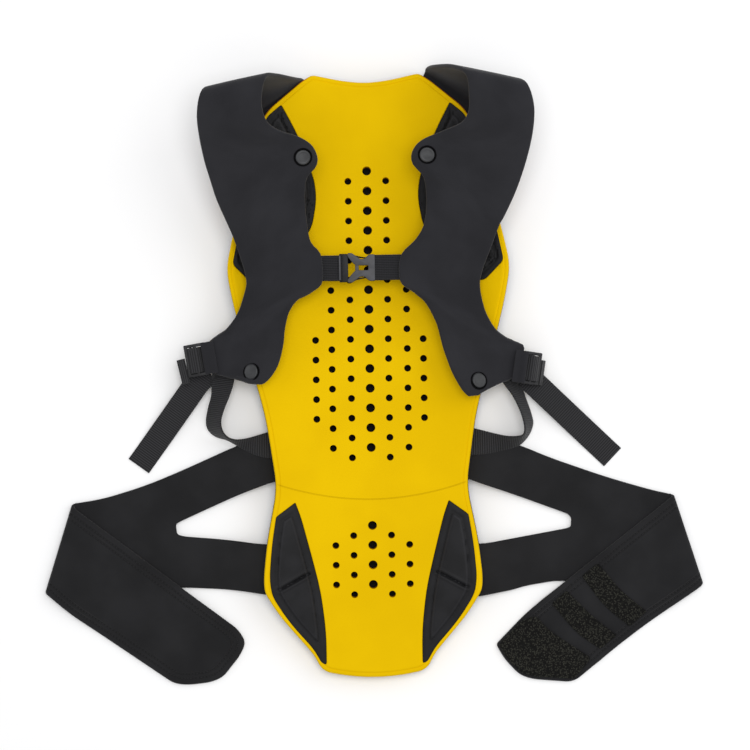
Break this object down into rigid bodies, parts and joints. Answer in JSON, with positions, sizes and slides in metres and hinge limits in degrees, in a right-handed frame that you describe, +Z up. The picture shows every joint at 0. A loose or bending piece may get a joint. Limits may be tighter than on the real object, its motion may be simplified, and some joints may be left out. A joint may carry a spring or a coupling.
{
  "type": "motorcycle back protector",
  "caption": "Perforated foam back plate with pads, folded shoulder flaps, a buckled chest strap, adjustable side straps and a two-wing waist belt, lying inner side up.",
  "frame": {"origin": "on the flat underside of the cover, on the middle line of the back", "axes": "+X to the right of the plate seen from above, +Y towards the neck end, +Z up from the floor, through the plate to its inner side"},
  "size_m": [0.625, 0.5875, 0.1071],
  "materials": {
    "foam": "smooth laminated yellow foam, matt",
    "cover": "thin black knit",
    "pad": "moulded black padding, matt",
    "flap_fabric": "fine black padded fabric",
    "belt_fabric": "black stretch fabric",
    "webbing": "ribbed black webbing",
    "plastic": "moulded dark grey",
    "hook": "black hook fastener"
  },
  "bodies": {
    "root": {"back_plate": "foam", "back_cover": "cover", "scapula_pad_left": "pad", "scapula_pad_right": "pad", "lumbar_pad_left": "pad", "lumbar_pad_right": "pad", "shoulder_flap_left": "flap_fabric", "shoulder_flap_right": "flap_fabric", "snap_upper_left": "plastic", "snap_upper_right": "plastic", "snap_lower_left": "plastic", "snap_lower_right": "plastic", "adjuster_left": "plastic", "adjuster_right": "plastic", "release_tab_left": "webbing", "release_tab_right": "webbing", "side_strap_left": "webbing", "side_strap_right": "webbing", "belt_left": "belt_fabric", "belt_right": "belt_fabric", "hook_patch_end": "hook", "hook_patch_middle": "hook", "hook_patch_outer": "hook", "chest_strap_left": "webbing", "chest_strap_right": "webbing", "buckle_male": "plastic", "buckle_female": "plastic"}
  },
  "joints": []
}
